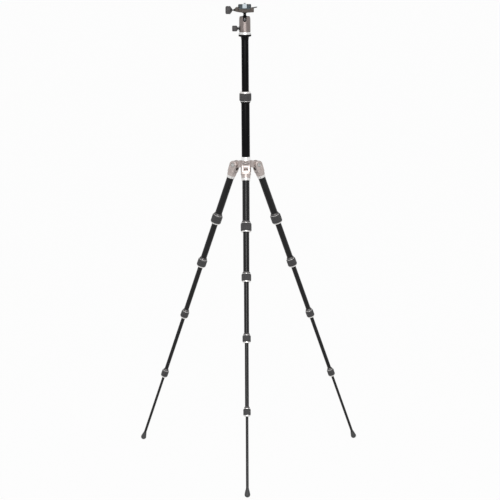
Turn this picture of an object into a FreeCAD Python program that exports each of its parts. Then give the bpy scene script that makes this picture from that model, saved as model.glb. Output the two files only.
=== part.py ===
"""A five-section travel tripod with a two-section centre column and a ball head.

Millimetres. +Z is up, the origin is on the floor under the centre column, and the front leg points to -Y.
Each piece is written to parts/NODE.step.
"""

import FreeCAD, Part
import os
from math import acos, atan2, copysign, cos, hypot, radians, sin, sqrt

V = FreeCAD.Vector
UP = V(0, 0, 1)

# ---------------------------------------------------------------- driving sizes

# fits
RUN = 0.06            # radial clearance of a sliding or turning fit
GAP = 0.3             # space between pieces that move past each other
FACE = 0.5            # space left between two stops

# stance
LEG_ANGLE = 21.2      # first leg stop, from the vertical
LEG_LENGTH = 1089.0   # pivot to the middle of the foot's round end
PIVOT_RADIUS = 43.4   # leg pivots, from the column's axis
SIDES = {"front": -90.0, "right": 30.0, "left": 150.0}
STOP_ANGLES = (21.2, 50.0, 80.0)

# leg tubes and twist locks, from the top down
TUBE_RADII = (12.1, 10.3, 8.25, 6.4, 4.5)
TUBE_WALL = 1.1
TUBE_TOP = 30.0       # top end of the first tube, from the pivot
FIRST_LOCK = 206.0    # middle of the first lock, from the pivot
LOCK_SPACINGS = (170.0, 204.5, 241.5)
LOCK_WALLS = (6.0, 5.8, 5.45, 5.8)   # sleeve's outside over its tube
LOCK_LENGTHS = (26.5, 23.5, 21.5, 21.0)
LOCK_RING = 4.0       # bare end of the nut below the rubber sleeve
SLEEVE_WALL = 2.1     # rubber on the nut
SLEEVE_ROUND = 1.8    # rounding of the sleeve's edges
OVERLAP = 35.0        # of an inner tube above the middle of its lock
BUSH_LENGTH = 18.0
COLLET_LENGTH = 10.0
COLLAR_LENGTH = 8.0
COLLAR_RISE = 3.4     # of the threaded collar over its tube, next to the nut
THREAD_END = 3.7      # an outer tube's end, below the middle of its lock

# foot
FOOT_RADIUS = 9.4
FOOT_LENGTH = 19.0    # above the middle of the round end
FOOT_WALL = 1.1
FOOT_SOCKET = 9.0

# leg casting
FORK_RADIUS = 14.0
CHEEK = 8.0           # each of the fork's two cheeks
FORK_FLOOR = 16.0     # bottom of the fork's slot, below the pivot
CASTING_WALL = 0.4    # over the tube, along the leg's swing
RIM = 1.3             # of the rim over the cheeks
RIM_TOP = 18.0
RIM_BOTTOM = 27.0
SOCKET_WALL = 2.3
SOCKET_END = 48.0
SOCKET_RING = 8.5     # bright ring at the socket's end
CHEEK_ROUND = 3.5
RIM_ROUND = 8.0
TONGUE_WIDTH = 14.0
WASHER = 0.5
BOLT_RADIUS = 4.0
BOLT_HEAD_RADIUS = 6.5
BOLT_HEAD = 3.0
TAB_WIDTH = 11.0
TAB_TOP = 18.6
TAB_BOTTOM = 25.4
TAB_GRIP = 3.0
TAB_TRAVEL = 5.0

# hub
HUB_WALL = 3.34       # of the sleeve round the column
SLEEVE_DROP = 22.0    # of the sleeve below the pivots
HUB_RISE = 17.7       # of the hub's top above the pivots
ARM_TOP = 16.0
ARM_BOTTOM = 7.0
ARM_ROUND = 2.0
CAM_RADIUS = 11.0
BOSS = 9.5            # of the column lock's boss over the sleeve
RING_HEIGHT = 11.7
RING_WALL = 1.4

# column
LOWER_RADIUS = 14.1
LOWER_WALL = 1.3
UPPER_RADIUS = 12.1
UPPER_WALL = 1.2
LOWER_REACH = 213.3   # hub top to the middle of the column lock
UPPER_REACH = 208.7   # middle of the column lock to the top of the flange
COLUMN_OVERLAP = 45.0
COLUMN_TAIL = 58.0    # of the lower tube below the hub's top
COLUMN_LOCK_WALL = 6.0
COLUMN_LOCK_LENGTH = 25.6
COLUMN_LOCK_RING = 6.0
FLANGE_RADIUS = 21.3
FLANGE_EDGE = 5.8
FLANGE_CONE = 11.5
STUD_RADIUS = 4.76    # 3/8 inch
CAP_HEIGHT = 3.0
HOOK_WIRE = 1.6
HOOK_RADIUS = 6.5
HOOK_SHANK = 24.0

# head
PAN_HEIGHT = 8.0
PAN_RADIUS = 20.0
PAN_TAPER = 0.6
SPIGOT_RADIUS = 10.0
SPIGOT_HEIGHT = 16.5
HOUSING_WALL = 3.34   # round the ball
HOUSING_FLOOR = 2.7   # between the spigot and the ball's cup
HOUSING_TAPER = 2.3   # from the barrel to its top edge
BALL_RADIUS = 15.5
BALL_DROP = 12.2      # ball centre below the housing's top
LIP = 2.6             # of the mouth over the ball
MOUTH_FLARE = 2.0
NOTCH_HALF = 6.2
CUP_DEPTH = 5.0       # under the ball
PAN_KNOB_OUT = 3.7    # of a knob's barrel from the housing
PAN_KNOB_LENGTH = 19.7
BALL_KNOB_OUT = 5.1
BALL_KNOB_LENGTH = 20.0
STEM_RADIUS = 4.8
STEM_HEIGHT = 25.3    # ball centre to the clamp's underside
STEM_FLANGE = 8.5

# clamp and camera plate
CLAMP_FLOOR = 11.3    # of the plate's seat above the clamp's underside
CLAMP_HALF = 25.0     # half length, along the plate
FIXED_JAW = 11.6      # width outside the dovetail
JAW_FACE = 2.0        # from the dovetail to the clamp's left face
JAW_WIDTH = 13.0
JAW_TOP = 17.0
JAW_TRAVEL = 4.0      # outwards, for the plate to lift out
PLATE_HALF = 25.0
DOVETAIL_HALF = 19.0
DOVETAIL_RISE = 3.5   # its slopes are at 45 degrees
SLAB_OVER = 2.6       # of the plate's top over its dovetail
PLATE_THICKNESS = 12.5
PAD = 2.0
PLATE_CLEAR = 0.2
CAMERA_SCREW = 3.175  # 1/4 inch
CAMERA_NECK = 2.45    # of the screw inside the plate's tapped hole
CAMERA_SCREW_OUT = 5.0
SCREW_HEAD_RADIUS = 7.6
CLAMP_ROUND = 0.9
KNOB_RADIUS = 13.6
KNOB_OUT = 8.0        # of the barrel from the jaw
SCREW_REACH = 11.0    # of the knob's screw into the clamp
KNOB_LENGTH = 22.0
LEVER_IN = 3.8        # of the lever's pin from the clamp's right face
LEVER_HALF = 4.0

# ---------------------------------------------------------------- derived places

PIVOT_Z = FOOT_RADIUS + LEG_LENGTH * cos(radians(LEG_ANGLE))
FORK_WIDTH = TONGUE_WIDTH + 2 * WASHER + 2 * CHEEK
RIM_WIDTH = FORK_WIDTH + 2 * RIM
CASTING_HALF = TUBE_RADII[0] + CASTING_WALL
SOCKET_RADIUS = TUBE_RADII[0] + SOCKET_WALL
SLEEVE_RADIUS = LOWER_RADIUS + RUN + HUB_WALL
HOUSING_RADIUS = BALL_RADIUS + RUN + HOUSING_WALL
HOUSING_MOUTH = HOUSING_RADIUS - HOUSING_TAPER
LIP_RADIUS = BALL_RADIUS - LIP
MOUTH_RADIUS = LIP_RADIUS + MOUTH_FLARE
NECK_HALF = DOVETAIL_HALF - DOVETAIL_RISE
SLAB_HALF = DOVETAIL_HALF + SLAB_OVER
CLAMP_RIGHT = DOVETAIL_HALF + FIXED_JAW
CLAMP_LEFT = -DOVETAIL_HALF - JAW_FACE
JAW_LEFT = CLAMP_LEFT - JAW_WIDTH
LEVER_X = CLAMP_RIGHT - LEVER_IN
HUB_TOP = PIVOT_Z + HUB_RISE
COLUMN_LOCK_Z = HUB_TOP + LOWER_REACH
FLANGE_TOP = COLUMN_LOCK_Z + UPPER_REACH
PAN_TOP = FLANGE_TOP + PAN_HEIGHT
HOUSING_BOTTOM = PAN_TOP + 0.2
CAVITY_FLOOR = PAN_TOP + SPIGOT_HEIGHT + GAP + HOUSING_FLOOR
BALL_Z = CAVITY_FLOOR + CUP_DEPTH + BALL_RADIUS
HOUSING_TOP = BALL_Z + BALL_DROP
CLAMP_Z = BALL_Z + STEM_HEIGHT
SEAT_Z = CLAMP_Z + CLAMP_FLOOR
PLATE_Z = SEAT_Z + PLATE_CLEAR
PLATE_TOP = PLATE_Z + PLATE_THICKNESS + PAD
PAN_SCREW_Z = HOUSING_BOTTOM + 11.7
BALL_SCREW_Z = CAVITY_FLOOR + 7.0
CLAMP_SCREW_Z = CLAMP_Z + 7.6
LEVER_Z = CLAMP_Z + JAW_TOP - 1.0
LEVEL_Y = 6.0 - CLAMP_HALF
PIN_Y = CLAMP_HALF - 10.0
LOCK_PLACES = tuple(FIRST_LOCK + sum(LOCK_SPACINGS[:i]) for i in range(4))
FOOT_TOP = LEG_LENGTH - FOOT_LENGTH


# ---------------------------------------------------------------- shape helpers

def spun(*outline):
    """A closed outline of (radius, z) points turned about Z."""
    points = [V(r, 0, z) for r, z in outline]
    face = Part.Face(Part.makePolygon(points + points[:1]))
    return face.revolve(V(0, 0, 0), UP, 360)


def rod(radius, low, high):
    return Part.makeCylinder(radius, high - low, V(0, 0, low))


def tube(inner, outer, low, high):
    return rod(outer, low, high).cut(rod(inner, low - 1, high + 1))


def box(x0, x1, y0, y1, z0, z1):
    return Part.makeBox(x1 - x0, y1 - y0, z1 - z0, V(x0, y0, z0))


def plate(outline, half):
    """A closed outline of (x, z) points given the thickness 2 * half across Y."""
    points = [V(x, -half, z) for x, z in outline]
    return Part.Face(Part.makePolygon(points + points[:1])).extrude(V(0, 2 * half, 0))


def touching(radius, x, z):
    """Where a line from (x, z) below touches the circle about the origin, on the side that x is on."""
    angle = atan2(z, x) + copysign(acos(radius / hypot(x, z)), x)
    return radius * cos(angle), radius * sin(angle)


def eye_plate(radius, left, right, low, half):
    """A plate across Y with a round top about the origin and sides that run down to -left and right."""
    (x0, z0), (x1, z1) = touching(radius, -left, low), touching(radius, right, low)
    start, end = V(x0, -half, z0), V(x1, -half, z1)
    arc = Part.Arc(start, V(0, -half, radius), end).toShape()
    sides = Part.makePolygon([end, V(right, -half, low), V(-left, -half, low), start])
    return Part.Face(Part.Wire([arc, *sides.Edges])).extrude(V(0, 2 * half, 0))


def across(radius, y0, y1, x=0.0, z=0.0):
    """A round bar along Y."""
    return Part.makeCylinder(radius, y1 - y0, V(x, y0, z), V(0, 1, 0))


def fused(first, *others):
    return first.fuse(list(others)).removeSplitter()


def moved(shape, turns=(), shift=V(0, 0, 0)):
    """A copy turned by (axis, degrees) pairs about the origin and then shifted."""
    out = shape.copy()
    for axis, angle in turns:
        out.rotate(V(0, 0, 0), axis, angle)
    out.translate(shift)
    return out


def write(name, *solids):
    """One STEP file per node, which holds each of its pieces as a solid."""
    pieces = [s for shape in solids for s in shape.Solids]
    whole = pieces[0] if len(pieces) == 1 else Part.makeCompound(pieces)
    whole.exportStep("parts/" + name + ".step")
    print(name, len(pieces), round(whole.Volume))


# ---------------------------------------------------------------- twist locks

def lock_nut(outer_tube, inner_tube, radius, length, ring, end):
    """The nut, about z = 0 with the inner tube leaving downwards, and its rubber sleeve."""
    half, body = length / 2, radius - SLEEVE_WALL
    nut = spun(
        (outer_tube + RUN, half - 1),
        (body, half - 1),
        (body, -half - ring + 0.8),
        (body - 0.8, -half - ring),
        (inner_tube + GAP, -half - ring),
        (inner_tube + GAP, -end - GAP),
        (outer_tube + RUN, -end - GAP),
    )
    soft = SLEEVE_ROUND
    sleeve = spun(
        (outer_tube + FACE, half),
        (radius - soft, half),
        (radius - 0.3 * soft, half - 0.3 * soft),
        (radius, half - soft),
        (radius, -half + soft),
        (radius - 0.3 * soft, -half + 0.3 * soft),
        (radius - soft, -half),
        (body, -half),
        (body, half - 1),
        (outer_tube + FACE, half - 1),
    )
    return nut, sleeve


def threaded_collar(radius, low, high, rise):
    """The collar above a nut, fixed on the outer tube; it widens towards the nut at low."""
    return spun(
        (radius, low),
        (radius + rise, low),
        (radius + rise, low + 1.5),
        (radius + 0.3 * rise, high - 1.0),
        (radius + 0.2 * rise, high),
        (radius, high),
    )


# ---------------------------------------------------------------- leg pieces
# Each is made hanging straight down from its pivot at the origin, with the swing to the outside along +X.

def in_leg(shape, side):
    """Tilts a hanging leg's piece to the first stop and carries it to its side of the hub."""
    placed = moved(shape, [(V(0, 1, 0), -LEG_ANGLE)], V(PIVOT_RADIUS, 0, PIVOT_Z))
    return moved(placed, [(UP, SIDES[side])])


def leg_casting():
    """The fork, rim and tube socket in one casting, and the bright ring that closes the socket's end."""
    half, wide = CASTING_HALF, FORK_WIDTH / 2
    depth_in = half + 0.4
    fork = eye_plate(FORK_RADIUS, depth_in, half, -RIM_BOTTOM, wide)
    cheeks = [
        e for e in fork.Edges
        if all(abs(abs(v.Y) - wide) < 1e-6 for v in e.Vertexes) and e.CenterOfMass.z > 1 - RIM_BOTTOM
    ]
    fork = fork.makeFillet(CHEEK_ROUND, cheeks)
    rim = box(-depth_in - 0.8, half + 0.8, -RIM_WIDTH / 2, RIM_WIDTH / 2, -RIM_BOTTOM, -RIM_TOP)
    rim = rim.makeFillet(RIM_ROUND, [e for e in rim.Edges if abs(e.tangentAt(e.FirstParameter).z) > 0.99])
    rim = rim.makeFillet(1.5, [e for e in rim.Edges if abs(e.tangentAt(e.FirstParameter).z) < 0.01])
    socket = spun(
        (0, -RIM_BOTTOM + 2),
        (SOCKET_RADIUS + 1.2, -RIM_BOTTOM + 2),
        (SOCKET_RADIUS + 1.2, -RIM_BOTTOM - 1),
        (SOCKET_RADIUS + 0.4, -SOCKET_END + SOCKET_RING + 0.8),
        (SOCKET_RADIUS - 0.4, -SOCKET_END + SOCKET_RING),
        (0, -SOCKET_END + SOCKET_RING),
    )
    body = fused(fork, rim, socket)
    slot = TONGUE_WIDTH / 2 + WASHER
    body = body.cut(box(-30, 30, -slot, slot, -FORK_FLOOR, 30))
    body = body.cut(rod(TUBE_RADII[0], -SOCKET_END - 1, -TUBE_TOP))
    body = body.cut(across(BOLT_RADIUS + RUN, -wide - 1, wide + 1))
    for end in (-1, 1):
        inner = wide - BOLT_HEAD - 0.1
        low, high = sorted((end * inner, end * (wide + 1)))
        body = body.cut(across(BOLT_HEAD_RADIUS + GAP, low, high))
    tab_half = TAB_WIDTH / 2 + GAP
    body = body.cut(box(-4.2, half + 3, -tab_half, tab_half, -TAB_BOTTOM - GAP, -TAB_TOP + GAP))
    body = body.cut(box(half - 0.01, half + 5, -8, 8, -TAB_BOTTOM - 1.6, -TAB_TOP + 3))
    body = body.cut(box(-1.6, 1.6 + TAB_TRAVEL, -3.3, 3.3, -TAB_TOP, -FORK_FLOOR + 1))
    ring = tube(TUBE_RADII[0], SOCKET_RADIUS - 0.4, -SOCKET_END, -SOCKET_END + SOCKET_RING)
    return [body, ring]


def angle_tab():
    """The pull tab that sets the leg's angle, with its toe over the hub's cam."""
    half = CASTING_HALF
    block = box(-3.5, half + 0.4, -TAB_WIDTH / 2, TAB_WIDTH / 2, -TAB_BOTTOM, -TAB_TOP)
    grip = box(half + 0.4, half + 0.4 + TAB_GRIP, -6.5, 6.5, -TAB_BOTTOM - 1.2, -TAB_TOP + 2.5)
    toe = box(-1.2, 1.2, -3.0, 3.0, -TAB_TOP, -CAM_RADIUS - 0.4)
    return fused(block, grip, toe)


def leg_tube(number):
    """A leg tube with the pieces fixed on it: its guide bush, and the collet and collar at its lock."""
    outer = TUBE_RADII[number]
    inner = outer - TUBE_WALL
    top = -TUBE_TOP if number == 0 else -(LOCK_PLACES[number - 1] - OVERLAP)
    if number < 4:
        middle = -LOCK_PLACES[number]
        end = middle - THREAD_END
    else:
        end = -(LEG_LENGTH - FOOT_LENGTH + FOOT_SOCKET)
    pieces = [tube(inner, outer, end, top)]
    if number > 0:
        bore = TUBE_RADII[number - 1] - TUBE_WALL
        pieces.append(tube(outer, bore - RUN, top - BUSH_LENGTH, top))
    if number < 4:
        guest = TUBE_RADII[number + 1]
        pieces.append(tube(guest + RUN, inner, end, end + COLLET_LENGTH))
        low = middle + LOCK_LENGTHS[number] / 2 + GAP
        pieces.append(threaded_collar(outer, low, low + COLLAR_LENGTH, COLLAR_RISE))
    return pieces


def leg_lock(number):
    nut, sleeve = lock_nut(
        TUBE_RADII[number],
        TUBE_RADII[number + 1],
        TUBE_RADII[number] + LOCK_WALLS[number],
        LOCK_LENGTHS[number],
        LOCK_RING,
        THREAD_END,
    )
    down = V(0, 0, -LOCK_PLACES[number])
    return [moved(nut, shift=down), moved(sleeve, shift=down)]


def foot():
    """A rubber foot that flares from the last tube to a round end."""
    bore, socket_end = TUBE_RADII[4], -(FOOT_TOP + FOOT_SOCKET)
    neck = bore + FOOT_WALL
    flare = spun(
        (0, socket_end),
        (bore, socket_end),
        (bore, -FOOT_TOP),
        (neck, -FOOT_TOP),
        (neck + 0.2, -FOOT_TOP - 3),
        (FOOT_RADIUS * 0.93, -LEG_LENGTH + 3.4),
        (FOOT_RADIUS * 0.93, -LEG_LENGTH),
        (0, -LEG_LENGTH),
    )
    end = Part.makeSphere(FOOT_RADIUS, V(0, 0, -LEG_LENGTH))
    return fused(flare, end)


# ---------------------------------------------------------------- hub

def hub_spider():
    """The centre sleeve and three arms, whose round ends carry the legs and have notches at the leg stops."""
    body = rod(SLEEVE_RADIUS, PIVOT_Z - SLEEVE_DROP, HUB_TOP)
    root, knee = LOWER_RADIUS + 0.5, PIVOT_RADIUS - 7.4
    outline = [
        (root, PIVOT_Z - ARM_BOTTOM),
        (knee, PIVOT_Z - CAM_RADIUS + 1.4),
        (PIVOT_RADIUS, PIVOT_Z - CAM_RADIUS),
        (PIVOT_RADIUS, PIVOT_Z + CAM_RADIUS),
        (knee, PIVOT_Z + CAM_RADIUS),
        (SLEEVE_RADIUS + 6, PIVOT_Z + ARM_TOP),
        (root, PIVOT_Z + ARM_TOP),
    ]
    half = TONGUE_WIDTH / 2
    arm = plate(outline, half)
    upper = [
        e for e in arm.Edges
        if all(abs(abs(v.Y) - half) < 1e-6 and v.Z > PIVOT_Z for v in e.Vertexes)
    ]
    arm = fused(arm.makeFillet(ARM_ROUND, upper), across(CAM_RADIUS, -half, half, PIVOT_RADIUS, PIVOT_Z))
    arm = arm.cut(across(BOLT_RADIUS + RUN, -half - 1, half + 1, PIVOT_RADIUS, PIVOT_Z))
    for angle in STOP_ANGLES:
        tooth = box(-1.5, 1.5, -half - 1, half + 1, -CAM_RADIUS - 1, -CAM_RADIUS + 1.2)
        arm = arm.cut(moved(tooth, [(V(0, 1, 0), -angle)], V(PIVOT_RADIUS, 0, PIVOT_Z)))
    arms = [moved(arm, [(UP, angle)]) for angle in SIDES.values()]
    face = SLEEVE_RADIUS + BOSS
    boss = across(8.0, LOWER_RADIUS + 1, face, 0, PIVOT_Z - 8)
    body = fused(body, boss, *arms)
    body = body.cut(rod(LOWER_RADIUS + RUN, 0, HUB_TOP + 1))
    return body.cut(across(4.0, LOWER_RADIUS, face + 1, 0, PIVOT_Z - 8))


def hub_top_ring():
    outer = LOWER_RADIUS + RING_WALL
    return spun(
        (LOWER_RADIUS + RUN, HUB_TOP),
        (outer + 0.6, HUB_TOP),
        (outer, HUB_TOP + 2.5),
        (outer, HUB_TOP + RING_HEIGHT - 0.8),
        (outer - 0.8, HUB_TOP + RING_HEIGHT),
        (LOWER_RADIUS + RUN, HUB_TOP + RING_HEIGHT),
    )


def pivot_hardware():
    """A bolt, a nut and two washers for each leg."""
    wide, half = FORK_WIDTH / 2, TONGUE_WIDTH / 2
    bolt = fused(
        across(BOLT_RADIUS, -wide + BOLT_HEAD, wide - 0.2),
        across(BOLT_HEAD_RADIUS, -wide, -wide + BOLT_HEAD),
    )
    nut = across(BOLT_HEAD_RADIUS, wide - BOLT_HEAD, wide).cut(across(BOLT_RADIUS, 0, 40))
    washers = []
    for low in (-half - WASHER, half):
        ring = across(9.0, low, low + WASHER)
        washers.append(ring.cut(across(BOLT_RADIUS + RUN, low - 1, low + WASHER + 1)))
    out = []
    for angle in SIDES.values():
        for piece in (bolt, nut, *washers):
            out.append(moved(moved(piece, shift=V(PIVOT_RADIUS, 0, PIVOT_Z)), [(UP, angle)]))
    return out


def grip_knob(radius, inner, outer, neck, shaft, tip, collar=None):
    """A knob along +Z: a screw of radius shaft from tip, and a barrel from inner to outer."""
    soft = min(3.0, radius / 4)
    barrel = spun(
        (0, tip),
        (shaft, tip),
        (shaft, inner),
        (neck, inner),
        (radius - 0.6, inner + soft + 1),
        (radius, inner + soft + 2),
        (radius, outer - soft),
        (radius - 0.35 * soft, outer - 0.35 * soft),
        (radius - soft, outer),
        (0, outer),
    )
    return fused(barrel, collar) if collar else barrel


def column_lock_knob():
    inner = SLEEVE_RADIUS + BOSS + FACE
    knob = grip_knob(11.0, inner, inner + 15.5, 7.0, 4.0 - RUN, LOWER_RADIUS + 0.2)
    return moved(knob, [(V(1, 0, 0), -90)], V(0, 0, PIVOT_Z - 8))


# ---------------------------------------------------------------- column

def lower_column():
    inner = LOWER_RADIUS - LOWER_WALL
    low, high = HUB_TOP - COLUMN_TAIL, COLUMN_LOCK_Z + THREAD_END
    wall = tube(inner, LOWER_RADIUS, low, high)
    collet = tube(UPPER_RADIUS + RUN, inner, high - COLLET_LENGTH, high)
    top = COLUMN_LOCK_Z - COLUMN_LOCK_LENGTH / 2 - GAP
    collar = threaded_collar(LOWER_RADIUS, 0, COLLAR_LENGTH, COLLAR_RISE)
    collar = moved(collar, [(V(1, 0, 0), 180)], V(0, 0, top))
    cap = spun(
        (3.0, low - CAP_HEIGHT),
        (LOWER_RADIUS - 1, low - CAP_HEIGHT),
        (LOWER_RADIUS, low - CAP_HEIGHT + 1),
        (LOWER_RADIUS, low),
        (inner, low),
        (inner, low + 9),
        (3.0, low + 9),
    )
    return [wall, collet, collar, cap]


def column_hook():
    """The ballast hook: a shank with a head inside the tube, and a hook of round wire below the cap."""
    low = HUB_TOP - COLUMN_TAIL - CAP_HEIGHT
    shank = rod(3.0 - RUN, low - 5, low + HOOK_SHANK)
    head = rod(6.5, low + HOOK_SHANK, low + HOOK_SHANK + 2.5)
    centre = V(0, 0, low - 5 - HOOK_RADIUS)
    ring = Part.makeTorus(HOOK_RADIUS, HOOK_WIRE, centre, V(0, 1, 0))
    opening = box(1.0, 12, -4, 4, centre.z + 0.5, centre.z + 12)
    ring = ring.cut(opening)
    return fused(shank, head, ring)


def column_twist_lock():
    """The column's lock is a leg lock turned over: the inner tube leaves it upwards."""
    nut, sleeve = lock_nut(
        LOWER_RADIUS,
        UPPER_RADIUS,
        LOWER_RADIUS + COLUMN_LOCK_WALL,
        COLUMN_LOCK_LENGTH,
        COLUMN_LOCK_RING,
        THREAD_END,
    )
    over, place = [(V(1, 0, 0), 180)], V(0, 0, COLUMN_LOCK_Z)
    return [moved(nut, over, place), moved(sleeve, over, place)]


def upper_column():
    low = COLUMN_LOCK_Z - COLUMN_OVERLAP
    high = FLANGE_TOP - FLANGE_EDGE - 8
    inner = UPPER_RADIUS - UPPER_WALL
    wall = tube(inner, UPPER_RADIUS, low, high)
    bush = tube(UPPER_RADIUS, LOWER_RADIUS - LOWER_WALL - RUN, low, low + BUSH_LENGTH)
    cone = FLANGE_TOP - FLANGE_EDGE
    flange = spun(
        (0, high - 14),
        (inner, high - 14),
        (inner, high),
        (UPPER_RADIUS, high),
        (UPPER_RADIUS, FLANGE_TOP - FLANGE_CONE - 6),
        (UPPER_RADIUS + 0.5, FLANGE_TOP - FLANGE_CONE - 6),
        (UPPER_RADIUS + 0.9, FLANGE_TOP - FLANGE_CONE),
        (UPPER_RADIUS + 2.4, cone - 2.6),
        (FLANGE_RADIUS - 0.8, cone),
        (FLANGE_RADIUS, cone + 1.2),
        (FLANGE_RADIUS, FLANGE_TOP - 0.6),
        (FLANGE_RADIUS - 0.6, FLANGE_TOP),
        (STUD_RADIUS, FLANGE_TOP),
        (STUD_RADIUS, FLANGE_TOP + 9),
        (0, FLANGE_TOP + 9),
    )
    return [wall, bush, flange]


# ---------------------------------------------------------------- ball head

def pan_base():
    """The graduated ring under the housing, with the spigot that the housing turns on."""
    spigot = PAN_TOP + SPIGOT_HEIGHT
    return spun(
        (STUD_RADIUS, FLANGE_TOP),
        (PAN_RADIUS, FLANGE_TOP),
        (PAN_RADIUS, FLANGE_TOP + 1.5),
        (PAN_RADIUS - PAN_TAPER, PAN_TOP),
        (SPIGOT_RADIUS, PAN_TOP),
        (SPIGOT_RADIUS, spigot),
        (0, spigot),
        (0, FLANGE_TOP + 9.2),
        (STUD_RADIUS, FLANGE_TOP + 9.2),
    )


def ball_housing():
    """The barrel that holds the ball, with the drop notch at the front."""
    bore = BALL_RADIUS + RUN
    lip = sqrt(bore**2 - LIP_RADIUS**2)
    shell = spun(
        (SPIGOT_RADIUS + RUN, HOUSING_BOTTOM),
        (HOUSING_RADIUS - 0.5, HOUSING_BOTTOM),
        (HOUSING_RADIUS, HOUSING_BOTTOM + 0.8),
        (HOUSING_RADIUS, HOUSING_TOP - 12.5),
        (HOUSING_RADIUS - 0.5, HOUSING_TOP - 6),
        (HOUSING_MOUTH + 0.5, HOUSING_TOP - 1.0),
        (HOUSING_MOUTH - 0.4, HOUSING_TOP),
        (MOUTH_RADIUS, HOUSING_TOP),
        (LIP_RADIUS, BALL_Z + lip),
        (0, BALL_Z + lip),
        (0, BALL_Z),
        (bore, BALL_Z),
        (bore, CAVITY_FLOOR),
        (0, CAVITY_FLOOR),
        (0, PAN_TOP + SPIGOT_HEIGHT + GAP),
        (SPIGOT_RADIUS + RUN, PAN_TOP + SPIGOT_HEIGHT + GAP),
    )
    shell = shell.cut(Part.makeSphere(bore, V(0, 0, BALL_Z)))
    notch = fused(
        across(NOTCH_HALF, -HOUSING_RADIUS - 5, 0, 0, BALL_Z + 0.4),
        box(-NOTCH_HALF, NOTCH_HALF, -HOUSING_RADIUS - 5, 0, BALL_Z + 0.4, HOUSING_TOP + 5),
    )
    shell = shell.cut(notch)
    reach = HOUSING_RADIUS + 5
    pan_bore = Part.makeCylinder(3.0, reach, V(0, 0, PAN_SCREW_Z), V(-1, 0, 0))
    return shell.cut(pan_bore).cut(across(4.0, 5, reach, 0, BALL_SCREW_Z))


def ball_cup():
    """The cup under the ball, which the lock screw presses."""
    outer = BALL_RADIUS
    body = tube(4.0, outer, CAVITY_FLOOR, BALL_Z - 6)
    return body.cut(Part.makeSphere(BALL_RADIUS + RUN, V(0, 0, BALL_Z)))


def pan_lock_knob():
    collar = tube(2.0, 6.6, HOUSING_RADIUS + 0.4, HOUSING_RADIUS + 2.2)
    inner = HOUSING_RADIUS + PAN_KNOB_OUT
    knob = grip_knob(9.9, inner, inner + PAN_KNOB_LENGTH, 4.6, 3.0 - RUN, SPIGOT_RADIUS + GAP, collar)
    return moved(knob, [(V(0, 1, 0), -90)], V(0, 0, PAN_SCREW_Z))


def ball_lock_knob():
    collar = tube(2.0, 7.5, HOUSING_RADIUS + 0.4, HOUSING_RADIUS + 2.6)
    inner = HOUSING_RADIUS + BALL_KNOB_OUT
    knob = grip_knob(13.0, inner, inner + BALL_KNOB_LENGTH, 7.0, 4.0 - RUN, BALL_RADIUS + 0.4, collar)
    return moved(knob, [(V(1, 0, 0), -90)], V(0, 0, BALL_SCREW_Z))


def ball_stem():
    """The neck from the ball to the clamp, hollowed to sit on the ball, with a spigot for the clamp."""
    neck = spun(
        (0, BALL_Z + 10),
        (STEM_RADIUS, BALL_Z + 10),
        (STEM_RADIUS, CLAMP_Z - 3.2),
        (STEM_FLANGE, CLAMP_Z - 1.8),
        (STEM_FLANGE, CLAMP_Z - 0.05),
        (4.5, CLAMP_Z - 0.05),
        (4.5, CLAMP_Z + 8),
        (0, CLAMP_Z + 8),
    )
    return neck.cut(Part.makeSphere(BALL_RADIUS + RUN / 2, V(0, 0, BALL_Z)))


# ---------------------------------------------------------------- clamp and plate

def dovetail_space(half_length, spare):
    """The space that the camera plate's dovetail takes between the jaws, with spare on every side."""
    rise = DOVETAIL_HALF - NECK_HALF
    low, foot_z = SEAT_Z, PLATE_Z + 2.0 + spare
    outline = [
        (-DOVETAIL_HALF - spare, low),
        (DOVETAIL_HALF + spare, low),
        (DOVETAIL_HALF + spare, foot_z),
        (NECK_HALF + spare, foot_z + rise),
        (NECK_HALF + spare, low + 20),
        (-NECK_HALF - spare, low + 20),
        (-NECK_HALF - spare, foot_z + rise),
        (-DOVETAIL_HALF - spare, foot_z),
    ]
    return plate(outline, half_length)


def rounded_upright(shape, radius):
    """Rounds a block's upright outer corners."""
    reach = max(abs(v.Point.y) for v in shape.Vertexes) - 0.01
    edges = [
        e for e in shape.Edges
        if abs(e.tangentAt(e.FirstParameter).z) > 0.99 and abs(e.CenterOfMass.y) > reach
    ]
    return shape.makeFillet(radius, edges) if edges else shape


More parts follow.
